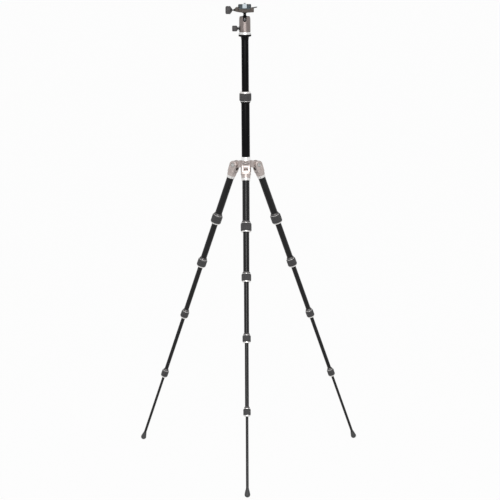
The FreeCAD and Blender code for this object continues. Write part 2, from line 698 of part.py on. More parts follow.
def clamp_body():
    top = CLAMP_Z + JAW_TOP - 2.4
    outline = [
        (CLAMP_LEFT, CLAMP_Z + 1.6),
        (-9, CLAMP_Z),
        (9, CLAMP_Z),
        (CLAMP_RIGHT - 2, CLAMP_Z + 0.8),
        (CLAMP_RIGHT, CLAMP_Z + 3),
        (CLAMP_RIGHT, top - 1.5),
        (CLAMP_RIGHT - 1.5, top),
        (SLAB_HALF + 0.9, top),
        (SLAB_HALF - 1.0, top + 2.4),
        (CLAMP_LEFT, top + 2.4),
    ]
    body = plate(outline, CLAMP_HALF)
    corner = box(10, 60, -60, 60, 0, 3000)
    for turn in (-45, 45):
        slab = moved(corner, [(UP, turn)], V(CLAMP_RIGHT - 14, CLAMP_HALF if turn > 0 else -CLAMP_HALF, 0))
        body = body.cut(slab)
    body = body.makeFillet(CLAMP_ROUND, body.Edges)
    body = body.cut(box(-30, NECK_HALF + PLATE_CLEAR, -30, 30, SEAT_Z, SEAT_Z + 20))
    body = body.cut(dovetail_space(30, PLATE_CLEAR))
    body = body.cut(rod(4.5 + RUN, CLAMP_Z - 1, CLAMP_Z + 8.3))
    screw = Part.makeCylinder(2.5, SCREW_REACH + 3, V(CLAMP_LEFT - 1, 0, CLAMP_SCREW_Z), V(1, 0, 0))
    body = body.cut(screw)
    for y in (-PIN_Y, PIN_Y):
        pin = Part.makeCylinder(2.0 + RUN, 13, V(CLAMP_LEFT - 1, y, CLAMP_SCREW_Z - 1), V(1, 0, 0))
        body = body.cut(pin)
    body = body.cut(rod(5.0, SEAT_Z - 2.5, SEAT_Z + 1).translated(V(8, LEVEL_Y, 0)))
    return body.cut(lever_space())


def lever_space():
    """The slot for the lever and its pin in the right-hand jaw."""
    half = LEVER_HALF + GAP
    slot = box(LEVER_X - 4.6, 40, -half, half, LEVER_Z - 3.4, LEVER_Z + 10)
    return fused(slot, across(1.0 + RUN, -half - 2.5, half + 2.5, LEVER_X, LEVER_Z - 1.8))


def safety_lever():
    """A short lever on the right-hand jaw, which holds the plate's stop down."""
    z = LEVER_Z - 1.8
    outline = [
        (LEVER_X - 3.6, z - 0.8),
        (LEVER_X, z - 1.4),
        (LEVER_X + 14.2, z + 1.2),
        (LEVER_X + 14.6, z + 4.0),
        (LEVER_X + 12, z + 4.2),
        (LEVER_X, z + 2.2),
        (LEVER_X - 3.6, z + 2.4),
    ]
    blade = plate(outline, LEVER_HALF)
    return fused(blade, across(1.0, -LEVER_HALF - 2.4, LEVER_HALF + 2.4, LEVER_X, z))


def clamp_jaw():
    """The moving jaw with its two guide pins."""
    right = CLAMP_LEFT - 0.5
    top = CLAMP_Z + JAW_TOP
    outline = [
        (right, CLAMP_Z + 1.7),
        (JAW_LEFT + 2, CLAMP_Z + 4.2),
        (JAW_LEFT, CLAMP_Z + 6),
        (JAW_LEFT, top - 5.5),
        (JAW_LEFT + 5.5, top),
        (-NECK_HALF - 0.5, top),
        (-NECK_HALF - 0.5, SEAT_Z + GAP),
        (right, SEAT_Z + GAP),
    ]
    jaw = plate(outline, CLAMP_HALF)
    corner = box(-60, -10, -60, 60, 0, 3000)
    for turn in (-45, 45):
        slab = moved(corner, [(UP, turn)], V(JAW_LEFT + 17, -CLAMP_HALF if turn > 0 else CLAMP_HALF, 0))
        jaw = jaw.cut(slab)
    jaw = jaw.cut(dovetail_space(30, PLATE_CLEAR))
    for y in (-PIN_Y, PIN_Y):
        pin = Part.makeCylinder(2.0, 13, V(right - 3, y, CLAMP_SCREW_Z - 1), V(1, 0, 0))
        jaw = jaw.fuse(pin)
    bore = Part.makeCylinder(2.5 + RUN, 30, V(JAW_LEFT - 2, 0, CLAMP_SCREW_Z), V(1, 0, 0))
    return jaw.cut(bore).removeSplitter()


def clamp_knob():
    inner = -JAW_LEFT + KNOB_OUT
    knob = grip_knob(KNOB_RADIUS, inner, inner + KNOB_LENGTH, 6.0, 2.5 - RUN, -CLAMP_LEFT - SCREW_REACH)
    shoulder = tube(1.0, 4.2, -JAW_LEFT + 0.1, -JAW_LEFT + 2.0)
    knob = fused(knob, shoulder)
    return moved(knob, [(V(0, 1, 0), -90)], V(0, 0, CLAMP_SCREW_Z))


def bubble_level():
    """A round level let into the clamp beside the plate's front end."""
    return rod(5.0 - RUN, SEAT_Z - 2.5, SEAT_Z - 0.1).translated(V(8, LEVEL_Y, 0))


def quick_plate():
    """The dovetail plate, with a well for the camera screw's head."""
    base = dovetail_space(PLATE_HALF, 0.0)
    base = base.cut(box(-40, 40, -40, 40, 0, PLATE_Z))
    rise = PLATE_Z + 2.0 + DOVETAIL_HALF - NECK_HALF
    top = PLATE_Z + PLATE_THICKNESS
    base = base.cut(box(-40, 40, -40, 40, top, top + 30))
    slab = rounded_upright(box(-SLAB_HALF, SLAB_HALF, -PLATE_HALF, PLATE_HALF, rise + 0.8, top), 3.0)
    body = fused(base, slab)
    body = body.cut(rod(CAMERA_NECK + RUN, PLATE_Z - 1, top + 1))
    return body.cut(rod(SCREW_HEAD_RADIUS + 0.6, PLATE_Z - 1, PLATE_Z + 4.5))


def plate_pad():
    """The rubber pad on the plate, with a well round the screw."""
    top = PLATE_Z + PLATE_THICKNESS
    pad = box(-SLAB_HALF + 0.8, SLAB_HALF - 0.8, -PLATE_HALF + 1.2, PLATE_HALF - 0.8, top, top + PAD)
    return rounded_upright(pad, 2.4).cut(rod(6.0, top - 1, top + PAD + 1))


def plate_stop_lug():
    """The pale lug on the plate's front end, a little taller than the pad."""
    low, high = PLATE_Z + 3.0, PLATE_TOP + 3.0
    lug = box(-7.0, 7.0, -PLATE_HALF - 2.2, -PLATE_HALF, low, high)
    level = [e for e in lug.Edges if abs(e.tangentAt(e.FirstParameter).y) > 0.99]
    upper = [e for e in level if e.CenterOfMass.z > low + 1]
    return lug.makeFillet(3.0, upper)


def camera_screw():
    """The captive camera screw: a slotted head in the plate's well, a neck, and a thread above the plate."""
    head = rod(SCREW_HEAD_RADIUS, PLATE_Z + 0.6, PLATE_Z + 4.3)
    slot = box(-10, 10, -0.9, 0.9, PLATE_Z, PLATE_Z + 2.4)
    thread_low = PLATE_Z + PLATE_THICKNESS + GAP
    neck = rod(CAMERA_NECK, PLATE_Z + 4, thread_low)
    return fused(head.cut(slot), neck, rod(CAMERA_SCREW, thread_low, PLATE_TOP + CAMERA_SCREW_OUT))


# ---------------------------------------------------------------- all pieces

def main():
    os.makedirs("parts", exist_ok=True)
    write("hub_spider", hub_spider())
    write("hub_top_ring", hub_top_ring())
    write("leg_pivot_hardware", *pivot_hardware())
    write("column_lock_knob", column_lock_knob())
    write("lower_column", *lower_column())
    write("column_hook", column_hook())
    write("column_twist_lock", *column_twist_lock())
    write("upper_column", *upper_column())
    for make in (pan_base, ball_housing, ball_cup, pan_lock_knob, ball_lock_knob, ball_stem):
        write(make.__name__, make())
    write("ball", Part.makeSphere(BALL_RADIUS, V(0, 0, BALL_Z)))
    for make in (clamp_body, clamp_jaw, clamp_knob, bubble_level, safety_lever):
        write(make.__name__, make())
    for make in (quick_plate, plate_pad, plate_stop_lug, camera_screw):
        write(make.__name__, make())
    for side in SIDES:
        write(side + "_leg_casting", *[in_leg(piece, side) for piece in leg_casting()])
        write(side + "_angle_tab", in_leg(angle_tab(), side))
        for number in range(5):
            pieces = [in_leg(piece, side) for piece in leg_tube(number)]
            write(f"{side}_leg_tube_{number + 1}", *pieces)
        for number in range(4):
            pieces = [in_leg(piece, side) for piece in leg_lock(number)]
            write(f"{side}_leg_lock_{number + 1}", *pieces)
        write(side + "_foot", in_leg(foot(), side))


main()
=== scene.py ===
"""The looks of a travel tripod with a ball head.

This makes the smooth turned parts, the ribbed grips, the finishes, the studio and the camera. Sizes
are in millimetres until mesh() turns them into metres. A profile is a list of (radius, height)
points. Every moving piece rides on its CAD body. +Z is up, and the front leg points to -Y.
"""

import bpy
import math
import numpy as np
from mathutils import Matrix, Vector


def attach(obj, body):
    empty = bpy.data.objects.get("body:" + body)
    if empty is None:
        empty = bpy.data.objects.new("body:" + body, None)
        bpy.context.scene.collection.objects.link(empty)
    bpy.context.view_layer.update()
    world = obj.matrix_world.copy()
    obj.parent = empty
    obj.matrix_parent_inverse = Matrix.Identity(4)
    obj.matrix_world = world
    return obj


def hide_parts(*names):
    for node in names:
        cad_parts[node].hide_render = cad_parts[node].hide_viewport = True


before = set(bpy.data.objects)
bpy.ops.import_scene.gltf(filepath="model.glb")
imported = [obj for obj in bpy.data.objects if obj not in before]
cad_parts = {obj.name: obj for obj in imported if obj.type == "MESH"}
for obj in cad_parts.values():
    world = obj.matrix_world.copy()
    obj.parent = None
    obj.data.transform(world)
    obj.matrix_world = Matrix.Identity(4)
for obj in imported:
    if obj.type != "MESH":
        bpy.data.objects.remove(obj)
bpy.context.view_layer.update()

# ---------------------------------------------------------------- sizes, as in the CAD model

RUN = 0.06                  # play round a sliding piece
GAP = 0.3                   # space between a lock and the pieces beside it

# legs
LEG_ANGLE = 21.2
LEG_LENGTH = 1089.0
PIVOT_RADIUS = 43.4
SIDES = {"front": -90.0, "right": 30.0, "left": 150.0}      # each leg's direction from +X
TUBE_RADII = (12.1, 10.3, 8.25, 6.4, 4.5)
TUBE_WALL = 1.1
TUBE_TOP = 30.0
TUBE_OVERLAP = 35.0
LOCKS = (206.0, 376.0, 580.5, 822.0)
LOCK_WALLS = (6.0, 5.8, 5.45, 5.8)
LOCK_LENGTHS = (26.5, 23.5, 21.5, 21.0)
LOCK_RING = 4.0
SLEEVE_WALL = 2.1
BUSH_LENGTH = 18.0
COLLET_LENGTH = 10.0
THREAD_END = 3.7            # how far a tube's threaded end reaches past the middle of its lock
COLLAR_LENGTH = 8.0
COLLAR_RISE = 3.4
FOOT_RADIUS = 9.4
FOOT_TOP = LEG_LENGTH - 19.0
FOOT_SOCKET = 9.0
SOCKET_END = 48.0           # how far down the leg the casting's tube socket ends
SOCKET_RING = 8.5

# hub
PIVOT_Z = FOOT_RADIUS + LEG_LENGTH * math.cos(math.radians(LEG_ANGLE))
HUB_TOP = PIVOT_Z + 17.7
RING_WALL = 1.4
RING_HEIGHT = 11.7
TONGUE_HALF = 7.0           # half the width of the hub's arm inside a casting's fork
BOLT_RADIUS = 4.0
BOLT_HEAD = 6.5
BOLT_END = 15.5
SOCKET_FLAT = 3.0           # from the bolt's axis to a flat of its hexagon socket
WASHER = 0.46

# column
LOWER_RADIUS = 14.1
LOWER_WALL = 1.3
LOWER_TAIL = 58.0           # how far the lower column reaches down past the hub's top
UPPER_RADIUS = 12.1
UPPER_WALL = 1.2
UPPER_OVERLAP = 45.0        # how far the upper column reaches down past the middle of its lock
COLUMN_LOCK_Z = HUB_TOP + 213.3
COLUMN_LOCK_WALL = 6.0
COLUMN_LOCK_LENGTH = 25.6
COLUMN_LOCK_RING = 6.0
FLANGE_TOP = COLUMN_LOCK_Z + 208.7
FLANGE_RADIUS = 21.3
FLANGE_EDGE = 5.8
FLANGE_CONE = 11.5
STUD_RADIUS = 4.76
STUD_HEIGHT = 9.0

# head
PAN_HEIGHT = 8.0
PAN_TOP = FLANGE_TOP + PAN_HEIGHT
PAN_RADIUS = 20.0
PAN_RIM = 1.5
PAN_TAPER = 0.6
SPIGOT_RADIUS = 10.0
SPIGOT_HEIGHT = 16.5
HOUSING_BOTTOM = PAN_TOP + 0.2
HOUSING_TOP = HOUSING_BOTTOM + 52.0
BALL_Z = HOUSING_TOP - 12.2
BALL_RADIUS = 15.5
STEM_RADIUS = 4.8
STEM_FLANGE = 8.5
PIN_RADIUS = 4.5
PIN_HEIGHT = 8.0
CLAMP_Z = BALL_Z + 25.3
CLAMP_SCREW_Z = CLAMP_Z + 7.6
PAN_SCREW_Z = HOUSING_BOTTOM + 11.7
BALL_SCREW_Z = PAN_TOP + 26.5
COLUMN_SCREW_Z = PIVOT_Z - 8.0


# ---------------------------------------------------------------- finishes

def linear(colour):
    """An sRGB hex colour as linear RGBA.

    Each channel c is c / 12.92 below 0.04045, and otherwise ((c + 0.055) / 1.055) ^ 2.4.
    """
    channels = [int(colour[i:i + 2], 16) / 255 for i in (1, 3, 5)]
    return [c / 12.92 if c < 0.04045 else ((c + 0.055) / 1.055) ** 2.4 for c in channels] + [1.0]


def per_mm(size):
    """The texture scale that makes a feature about this many millimetres across."""
    return 1000.0 / size


def add(tree, kind, inputs=(), **settings):
    """Adds a node with its settings, and sets or links its inputs."""
    node = tree.nodes.new(kind)
    for name, value in settings.items():
        setattr(node, name, value)
    for name, value in dict(inputs).items():
        if isinstance(value, bpy.types.NodeSocket):
            tree.links.new(value, node.inputs[name])
        else:
            node.inputs[name].default_value = value
    return node


class Finish:
    """A node material: its shader, and the effects that the finishes share."""

    def __init__(self, name, colour, metallic, roughness):
        self.material = bpy.data.materials.new(name)
        self.material.use_nodes = True
        self.tree = self.material.node_tree
        self.shader = self.tree.nodes["Principled BSDF"]
        self.shader.inputs["Base Color"].default_value = linear(colour)
        self.shader.inputs["Metallic"].default_value = metallic
        self.shader.inputs["Roughness"].default_value = roughness
        self.place = add(self.tree, "ShaderNodeTexCoord").outputs["Object"]

    def drive(self, socket, output):
        """Links an output to one of the shader's sockets."""
        self.tree.links.new(output, self.shader.inputs[socket])

    def mottle(self, size, dark, light, detail=3.0):
        """Blends two colours in cloudy patches about this many millimetres across."""
        inputs = {"Vector": self.place, "Scale": per_mm(size), "Detail": detail}
        patches = add(self.tree, "ShaderNodeTexNoise", inputs)
        ramp = add(self.tree, "ShaderNodeValToRGB", {"Fac": patches.outputs["Fac"]})
        first, last = ramp.color_ramp.elements
        first.position, first.color = 0.35, linear(dark)
        last.position, last.color = 0.65, linear(light)
        self.drive("Base Color", ramp.outputs["Color"])

    def uneven_shine(self, size, low, high):
        """Lets the roughness wander between two values, in patches about this many mm across."""
        inputs = {"Vector": self.place, "Scale": per_mm(size), "Detail": 3.0}
        patches = add(self.tree, "ShaderNodeTexNoise", inputs)
        inputs = {"Value": patches.outputs["Fac"], "To Min": low, "To Max": high}
        spread = add(self.tree, "ShaderNodeMapRange", inputs)
        self.drive("Roughness", spread.outputs["Result"])

    def skin(self, edge, grain=0.0, depth=0.0, detail=3.0):
        """Rounds the look of sharp edges by a radius, then lays a grain of this size and depth over
        it, all in millimetres. An edge or a depth of 0 leaves that out."""
        normal = {}
        if edge:
            rounded = add(self.tree, "ShaderNodeBevel", {"Radius": edge / 1000}, samples=6)
            normal["Normal"] = rounded.outputs["Normal"]
        if depth:
            inputs = {"Vector": self.place, "Scale": per_mm(grain), "Detail": detail}
            height = add(self.tree, "ShaderNodeTexNoise", inputs).outputs["Fac"]
            inputs = {"Height": height, "Distance": depth / 1000, "Strength": 1.0, **normal}
            normal["Normal"] = add(self.tree, "ShaderNodeBump", inputs).outputs["Normal"]
        self.drive("Normal", normal["Normal"])

    def grooves(self, axis, profile, pitch, depth):
        """Cuts straight grooves across an axis, this far apart and this deep in millimetres."""
        inputs = {"Vector": self.place, "Scale": per_mm(pitch) / 20 * math.tau}
        settings = {"wave_type": "BANDS", "bands_direction": axis, "wave_profile": profile}
        height = add(self.tree, "ShaderNodeTexWave", inputs, **settings).outputs["Fac"]
        inputs = {"Height": height, "Distance": depth / 1000, "Strength": 1.0}
        self.drive("Normal", add(self.tree, "ShaderNodeBump", inputs).outputs["Normal"])


def black_anodised(name, shine):
    """Black anodised aluminium tube: a deep dyed film, a little mottled. Its shine is set for each
    copy, and the column's copy shines far less than the legs', a painted shade that keeps it
    darker.
    """
    finish = Finish(name, "#0a0a0b", 0.0, 0.24)
    finish.mottle(40.0, "#09090a", "#0e0e0f")
    finish.uneven_shine(12.0, 0.2, 0.26)
    # a very low shine is painted shade: the tube reflects less of the white studio and looks darker
    finish.shader.inputs["Specular IOR Level"].default_value = shine
    return finish.material


def black_polished():
    """The ball: hard black anodising polished to a mirror shine, with faint patches from use."""
    finish = Finish("polished_black_aluminium", "#101011", 0.0, 0.1)
    finish.mottle(9.0, "#0e0e0f", "#141415")
    finish.uneven_shine(5.0, 0.08, 0.13)
    return finish.material


def cast_silver():
    """Die-cast aluminium with a warm satin coat: soft edges, broad pale patches and orange peel.

    The orange peel is drawn 1.2 mm across, coarser than the real 0.5 mm, so that it shows.
    """
    finish = Finish("satin_cast_aluminium", "#afa5a1", 0.75, 0.36)
    finish.mottle(14.0, "#aaa09c", "#b6aca8")
    finish.uneven_shine(3.0, 0.34, 0.4)
    finish.skin(0.9, 1.2, 0.006)
    return finish.material


def turned_silver(name, colour, low, high):
    """Bright turned aluminium: fine rings 0.25 mm apart, seen as small changes of roughness."""
    finish = Finish(name, colour, 1.0, (low + high) / 2)
    height = add(finish.tree, "ShaderNodeSeparateXYZ", {"Vector": finish.place}).outputs["Z"]
    inputs = {"W": height, "Scale": per_mm(0.25)}
    rings = add(finish.tree, "ShaderNodeTexNoise", inputs, noise_dimensions="1D")
    inputs = {"Value": rings.outputs["Fac"], "To Min": low, "To Max": high}
    spread = add(finish.tree, "ShaderNodeMapRange", inputs)
    finish.drive("Roughness", spread.outputs["Result"])
    finish.skin(0.25)
    return finish.material


def titanium():
    """The head's barrel: warm titanium-grey anodising, finely blasted, with soft highlights.

    The blasted grain is drawn 0.9 mm across, coarser than the real 0.15 mm, so that it shows.
    """
    finish = Finish("titanium_anodised_aluminium", "#7d7471", 0.9, 0.34)
    finish.mottle(18.0, "#786f6c", "#827976")
    finish.uneven_shine(2.0, 0.32, 0.37)
    finish.skin(0.5, 0.9, 0.003)
    return finish.material


def dark_anodised(name, dark, light, rough):
    """Dark anodised aluminium or blackened steel: a dull sheen over a fine blasted grain.

    The grain is drawn 0.8 mm across, coarser than the real 0.15 mm, so that it shows.
    """
    finish = Finish(name, light, 0.6, rough)
    finish.mottle(6.0, dark, light)
    finish.uneven_shine(1.5, rough - 0.05, rough + 0.05)
    finish.skin(0.5, 0.8, 0.004)
    return finish.material


def rubber(name, dark, light, rough=0.62):
    """Moulded rubber: a fine pebbled skin, with paler, dusty patches and a soft sheen.

    The pebbles are drawn 0.9 mm across, coarser than the real 0.3 mm, so that they show.
    """
    finish = Finish(name, light, 0.0, rough)
    finish.mottle(5.0, dark, light, 4.0)
    finish.uneven_shine(2.5, rough - 0.07, rough + 0.07)
    finish.skin(0, 0.9, 0.015, 2.0)
    finish.shader.inputs["Sheen Weight"].default_value = 0.15
    finish.shader.inputs["Sheen Roughness"].default_value = 0.4
    return finish.material


def ribbed_rubber():
    """The plate's pad: moulded rubber with straight round ribs across it, 2 mm apart."""
    finish = Finish("pad_rubber", "#303437", 0.0, 0.66)
    finish.mottle(6.0, "#26292b", "#303437", 4.0)
    finish.grooves("Y", "SIN", 2.0, 0.35)
    return finish.material


def plastic(name, dark, light, rough):
    """Moulded plastic: a light spark texture 0.25 mm across, and a dull shine."""
    finish = Finish(name, light, 0.0, rough)
    finish.mottle(7.0, dark, light)
    finish.uneven_shine(1.2, rough - 0.05, rough + 0.05)
    finish.skin(0.3, 0.25, 0.006)
    finish.shader.inputs["Specular IOR Level"].default_value = 0.25
    return finish.material


def plated_steel():
    """Nickel-plated steel: bright, a little uneven in its shine."""
    finish = Finish("plated_steel", "#b9b8b6", 1.0, 0.25)
    finish.uneven_shine(3.0, 0.2, 0.32)
    finish.skin(0.2, 0.4, 0.003)
    return finish.material


def threaded_steel():
    """Plated steel with the grooves of a fine screw thread, 1.27 mm apart."""
    finish = Finish("threaded_steel", "#b9b8b6", 1.0, 0.28)
    finish.uneven_shine(3.0, 0.24, 0.34)
    finish.grooves("Z", "TRI", 1.27, 0.35)
    return finish.material


def level_liquid():
    """Yellow-green spirit under clear plastic: bright and glossy, with a faint painted glow of its
    own.
    """
    finish = Finish("level_liquid", "#b5cf2e", 0.0, 0.05)
    finish.mottle(4.0, "#a9c422", "#c2d944")
    finish.shader.inputs["Coat Weight"].default_value = 1.0
    # painted glow: a faint emission in the spirit's own colour, though the level is no lamp
    finish.shader.inputs["Emission Color"].default_value = linear("#b5cf2e")
    finish.shader.inputs["Emission Strength"].default_value = 0.05
    return finish.material


FINISHES = {
    # painted shade: the column's copy shines far less than the legs' copy of the same aluminium, so
    # it looks darker
    "column_black": black_anodised("column_black_aluminium", 0.05),
    "leg_black": black_anodised("leg_black_aluminium", 0.24),
    "black_polished": black_polished(),
    "silver_casting": cast_silver(),
    "bright_silver": turned_silver("turned_aluminium", "#e9e8e7", 0.16, 0.28),
    "lock_ring": turned_silver("lock_ring_aluminium", "#dcdad8", 0.2, 0.34),
    "titanium_housing": titanium(),
    "clamp_bronze": dark_anodised("bronze_anodised_aluminium", "#322c28", "#3c3531", 0.4),
    "lock_grey": dark_anodised("grey_anodised_aluminium", "#4b4949", "#565454", 0.42),
    "plate_slate": dark_anodised("slate_anodised_aluminium", "#2a3236", "#323b40", 0.42),
    "steel": plated_steel(),
    "threaded_steel": threaded_steel(),
    "black_steel": dark_anodised("blackened_steel", "#252424", "#302f2e", 0.35),
    "grip_rubber": rubber("grip_rubber", "#282728", "#343334"),
    "knob_rubber": rubber("knob_rubber", "#393637", "#464344", 0.5),
    "foot_rubber": rubber("foot_rubber", "#2c2c2d", "#39393a"),
    "pad_rubber": ribbed_rubber(),
    "black_plastic": plastic("black_plastic", "#131313", "#1d1d1d", 0.38),
    "pale_plastic": plastic("pale_plastic", "#b3bdc4", "#bfc9cf", 0.4),
    "level_green": level_liquid(),
    "scale_mark": plastic("scale_mark", "#2c2c2d", "#38383a", 0.5),
}


# ---------------------------------------------------------------- meshes

ON_AXIS = 1e-6              # radii and heights that differ by less are the same
NEARLY_STRAIGHT = -0.985    # the cosine between a corner's two sides below which it isn't rounded
UPRIGHT = 0.6               # a stretch whose radius changes by less is upright


def mesh(name, points, faces, finish, body, angle=35.0):
    """One piece from points in millimetres, placed in the object's frame and ridden on its body."""
    data = bpy.data.meshes.new(name)
    data.from_pydata((np.asarray(points, float) / 1000).tolist(), [], faces)
    data.validate()
    data.materials.append(FINISHES[finish])
    data.polygons.foreach_set("use_smooth", np.ones(len(data.polygons), bool))
    data.set_sharp_from_angle(angle=math.radians(angle))
    data.update()
    piece = bpy.data.objects.new(name, data)
    bpy.context.scene.collection.objects.link(piece)
    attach(piece, body)
    return piece


def softened(outline, radius, steps=4):
    """A closed outline with each corner rounded. A corner is cut back along its two sides by the
    radius, or by 0.4 of the shorter side, and the cut is bridged by a quadratic curve. Corners on
    the axis and nearly straight ones stay as they are."""
    out, count = [], len(outline)
    for i in range(count):
        before, corner, after = (np.array(outline[(i + k) % count], float) for k in (-1, 0, 1))
        into, away = before - corner, after - corner
        lengths = np.linalg.norm(into), np.linalg.norm(away)
        bend = np.dot(into, away) / (lengths[0] * lengths[1])
        if corner[0] < ON_AXIS or bend < NEARLY_STRAIGHT:
            out.append(tuple(corner))
            continue
        cut = min(radius, 0.4 * min(lengths))
        start, end = corner + into / lengths[0] * cut, corner + away / lengths[1] * cut
        for t in np.linspace(0, 1, steps + 1):
            out.append(tuple((1 - t) ** 2 * start + 2 * t * (1 - t) * corner + t ** 2 * end))
    return out


def divided(outline, low, high, step):
    """The outline with its upright stretches between two heights cut into short lengths."""
    out = []
    for i, (r, z) in enumerate(outline):
        out.append((r, z))
        r2, z2 = outline[(i + 1) % len(outline)]
        upright = abs(r2 - r) < UPRIGHT and abs(z2 - z) > 2 * step
        if upright and min(z, z2) >= low - ON_AXIS and max(z, z2) <= high + ON_AXIS:
            pieces = int(abs(z2 - z) / step)
            out += [
                (r + (r2 - r) * k / pieces, z + (z2 - z) * k / pieces) for k in range(1, pieces)
            ]
    return out


def turned(outline, around=96, relief=None):
    """Points and faces of a closed outline turned about Z. Point (i, j) lies 2 pi j / around
    about the axis, at height z_i and at radius r_i plus relief(angle, r_i, z_i). A row on the axis
    is one point. Faces join each row to the next, and the last to the first, and point out of the
    solid."""
    r, z = np.array(outline, float).T
    if np.sum(r * np.roll(z, -1) - np.roll(r, -1) * z) > 0:
        r, z = r[::-1], z[::-1]
    r, z = r[:, None], z[:, None]
    angle = np.linspace(0, 2 * np.pi, around, endpoint=False)[None, :]
    on_axis = np.repeat(r < ON_AXIS, around, axis=1)
    radius = np.where(on_axis, 0.0, r + (relief(angle, r, z) if relief else 0.0))
    grid = np.stack([radius * np.cos(angle), radius * np.sin(angle), z + 0 * angle], axis=-1)
    kept = ~on_axis
    kept[:, 0] = True
    first = np.cumsum(kept).reshape(kept.shape) - 1
    below = np.roll(first, -1, axis=0)
    below_on_axis = np.roll(on_axis, -1, axis=0)
    beside = np.roll(below, -1, axis=1), np.roll(first, -1, axis=1)
    corners = np.stack([first, below, *beside], axis=-1)
    quads = corners[~on_axis & ~below_on_axis]
    from_axis = corners[on_axis & ~below_on_axis][:, :3]
    to_axis = corners[~on_axis & below_on_axis][:, [0, 1, 3]]
    return grid[kept], quads.tolist() + from_axis.tolist() + to_axis.tolist()


def placed(points, matrix):
    """The points moved by a 4x4 matrix, in millimetres."""
    m = np.array(matrix)
    return points @ m[:3, :3].T + m[:3, 3]


def at(x=0.0, y=0.0, z=0.0):
    """A move, in millimetres."""
    return Matrix.Translation((x, y, z))


def turn(axis, degrees):
    """A turn about an axis through the origin."""
    return Matrix.Rotation(math.radians(degrees), 4, axis)


def leg_place(side):
    """From a leg hanging straight down from its pivot to where the leg stands."""
    return turn("Z", SIDES[side]) @ at(PIVOT_RADIUS, 0, PIVOT_Z) @ turn("Y", -LEG_ANGLE)


def lathe(
    name, outline, finish, body, place=Matrix(), soft=0.35, around=96, relief=None, angle=35,
):
    """A turned piece: the outline with softened corners, turned about Z, and put in its place."""
    outline = softened(outline, soft) if soft else outline
    points, faces = turned(outline, around, relief)
    return mesh(name, placed(points, place), faces, finish, body, angle)


# ---------------------------------------------------------------- reliefs

def slanted_ribs(count, depth, low, high, slant):
    """Rounded ribs that lean round a sleeve: a dip of depth times 1 - |sin(a)| ^ 0.6, where a is
    count / 2 times the angle plus slant times the height, faded out within 1.5 mm of each end."""
    def relief(theta, r, z):
        fade = np.clip((z - low) / 1.5, 0, 1) * np.clip((high - z) / 1.5, 0, 1)
        wave = np.abs(np.sin(count / 2 * theta + slant * (z - low)))
        return -depth * fade * (1 - wave ** 0.6)
    return relief


def flutes(count, depth, low, high, waist):
    """Straight flutes round a knob: depth times a narrow dip at each zero of sin(a), where a is
    count / 2 times the angle, faded out at both ends, and a waist that is deepest halfway up."""
    def relief(theta, r, z):
        span = np.clip((z - low) / (high - low), 0, 1)
        fade = np.clip(np.sin(np.pi * span) * 3, 0, 1)
        dip = np.clip(1 - np.abs(np.sin(count / 2 * theta)) * 2.2, 0, 1)
        return -depth * fade * dip - waist * np.sin(np.pi * span) ** 2
    return relief


def beyond(least, relief):
    """The relief where the outline's radius is more than this, and none nearer the axis."""
    return lambda theta, r, z: np.where(r > least, relief(theta, r, z), 0.0)


# ---------------------------------------------------------------- twist locks

def twist_lock(label, node, body, place, tube, guest, wall, length, ring):
    """A lock's bright nut and the ribbed sleeve over it, about its middle. tube and guest are the
    radii of the tube above and of the one that leaves downwards, and ring is the nut's bare end."""
    radius = tube + wall
    half, core = length / 2, radius - SLEEVE_WALL
    nut = [
        (tube + RUN, half - 1),
        (core, half - 1),
        (core, -half),
        (core, -half - ring + 1.2),
        (core - 1.0, -half - ring),
        (guest + GAP, -half - ring),
        (guest + GAP, -THREAD_END - GAP),
        (tube + RUN, -THREAD_END - GAP),
    ]
    nut_piece = lathe(label + "_nut", nut, "lock_ring", body, place, 0.4)
    low, high = -half + 2.6, half - 2.6
    sleeve = [
        (tube + 0.5, half),
        (radius - 1.3, half),
        (radius - 0.2, half - 1.4),
        (radius - 0.2, high),
        (radius, high - 0.3),
        (radius, low + 0.3),
        (radius - 0.2, low),
        (radius - 0.2, -half + 1.4),
        (radius - 1.3, -half),
        (core, -half),
        (core, half - 1),
        (tube + 0.5, half - 1),
    ]
    ribs = max(16, 2 * round(radius * 1.1))
    relief = beyond(core + 1, slanted_ribs(ribs, 0.75, low, high, 0.16))
    outline = divided(softened(sleeve, 0.5), low, high, 0.9)
    sleeve_piece = lathe(
        label + "_sleeve", outline, "grip_rubber", body, place,
        soft=0, around=ribs * 8, relief=relief, angle=60,
    )
    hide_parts(node)
    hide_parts(node)


def threaded_collar(label, body, place, radius, low, finish):
    """The collar above a lock: a bright band next to the grip, and a shoulder that runs in to the
    tube, COLLAR_RISE times 0.94 - 0.7 t ^ 1.6 out from it, for t from 0 at the band to 1."""
    edge, high = low + 1.5, low + COLLAR_LENGTH
    outside = radius + COLLAR_RISE
    band = [(radius, low), (outside, low), (outside, edge), (radius, edge)]
    lathe(label + "_band", band, "lock_ring", body, place, 0.3)
    slope = [
        (radius + COLLAR_RISE * (0.94 - 0.7 * t ** 1.6), edge + (high - edge - 0.6) * t)
        for t in np.linspace(0, 1, 9)
    ]
    shoulder = [(radius, edge), *slope, (radius + 0.1 * COLLAR_RISE, high), (radius, high)]
    lathe(label + "_shoulder", shoulder, finish, body, place, 0)


# ---------------------------------------------------------------- legs

